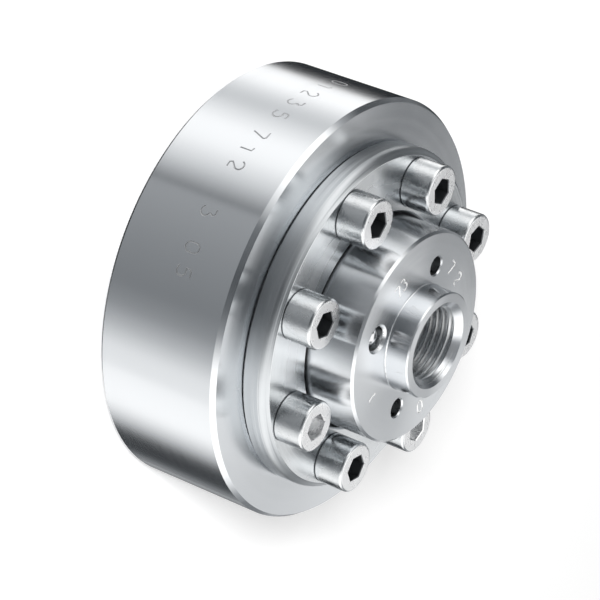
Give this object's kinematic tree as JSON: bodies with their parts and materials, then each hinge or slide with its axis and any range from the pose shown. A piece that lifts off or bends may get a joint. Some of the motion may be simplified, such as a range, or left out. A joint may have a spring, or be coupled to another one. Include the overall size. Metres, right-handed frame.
{
  "type": "gauge diaphragm seal",
  "caption": "Round diaphragm seal for a pressure gauge: thick flanged process block, clamp ring held by socket screws, upper body with a threaded gauge socket.",
  "frame": {"origin": "centre of the raised face, on the process side", "axes": "+Z along the axis towards the gauge socket; +X halfway between two clamp screws"},
  "size_m": [0.11, 0.11, 0.0641],
  "materials": {
    "turned_block": "fine turned stainless steel",
    "satin_ring": "satin turned stainless steel",
    "turned_hub": "fine turned stainless steel",
    "foil": "rolled bright foil",
    "seal_rubber": "matte moulded rubber",
    "screw_steel": "cold headed stainless steel, satin",
    "ball_steel": "polished ball"
  },
  "bodies": {
    "root": {"lower_body": "turned_block", "clamp_ring": "satin_ring", "upper_body": "turned_hub", "diaphragm": "foil", "seal_ring": "seal_rubber", "cap_screws": "screw_steel", "fill_ball": "ball_steel"}
  },
  "joints": []
}
